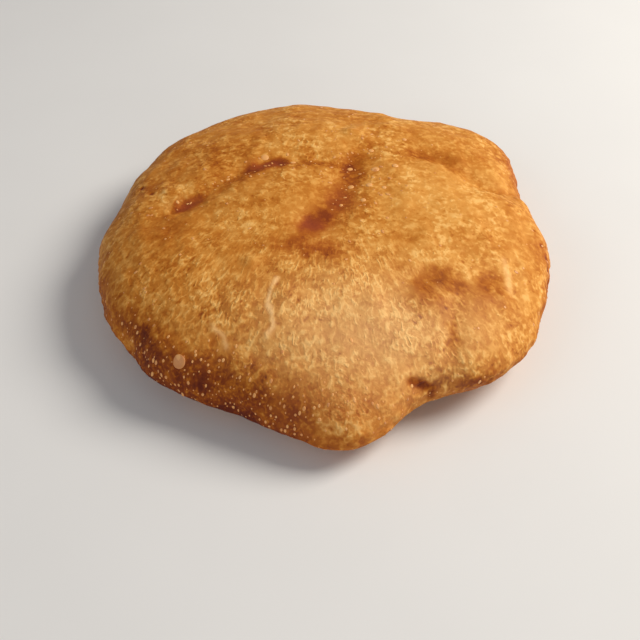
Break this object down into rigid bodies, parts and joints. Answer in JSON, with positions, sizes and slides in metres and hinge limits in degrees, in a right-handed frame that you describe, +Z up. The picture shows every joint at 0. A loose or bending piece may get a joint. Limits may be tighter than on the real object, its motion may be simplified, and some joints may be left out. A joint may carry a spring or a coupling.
{
  "type": "fry bread",
  "caption": "Puffed round of deep-fried coconut flatbread dough with creased, blistered golden crust, whole and resting flat, served to be torn or split.",
  "frame": {"origin": "under the middle of the bounding box, on the surface that the bread rests on", "axes": "+Z up, and -Y towards the blunt nose of the outline, which faced the viewer"},
  "size_m": [0.1826, 0.1946, 0.0411],
  "materials": {
    "crust": null
  },
  "bodies": {
    "root": {"fry_bread": "crust"}
  },
  "joints": []
}
